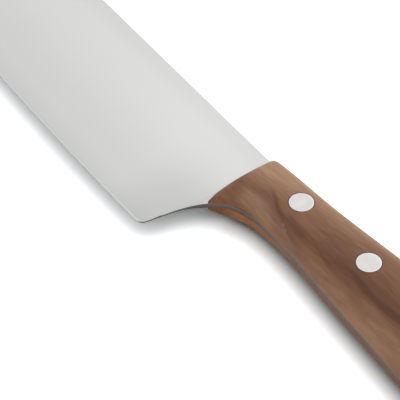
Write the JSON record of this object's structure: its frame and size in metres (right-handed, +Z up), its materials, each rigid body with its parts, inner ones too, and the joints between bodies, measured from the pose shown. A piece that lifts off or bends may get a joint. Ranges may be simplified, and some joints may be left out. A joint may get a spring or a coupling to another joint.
{
  "type": "nakiri knife",
  "caption": "Full-tang vegetable knife with a tall straight blade, rounded heel, wooden scales and flush rivets, lying on its side.",
  "frame": {"origin": "on the right scale's flat side, which the knife rests on, midway between the front and the middle rivet; z = 0 is the surface under the handle", "axes": "+X along the knife from the tip towards the butt, +Y across it from the edge towards the spine, +Z up, out of the left side"},
  "size_m": [0.2914, 0.057, 0.016],
  "materials": {
    "blade_steel": "fine satin, ground lengthwise to the edge",
    "handle_wood": "oiled walnut-brown wood, smooth",
    "rivet_metal": "satin, ground flush with the wood"
  },
  "bodies": {
    "root": {"blade": "blade_steel", "scale_left": "handle_wood", "scale_right": "handle_wood", "rivet_front_socket": "rivet_metal", "rivet_front_pin": "rivet_metal", "rivet_middle_socket": "rivet_metal", "rivet_middle_pin": "rivet_metal", "rivet_rear_socket": "rivet_metal", "rivet_rear_pin": "rivet_metal"}
  },
  "joints": []
}
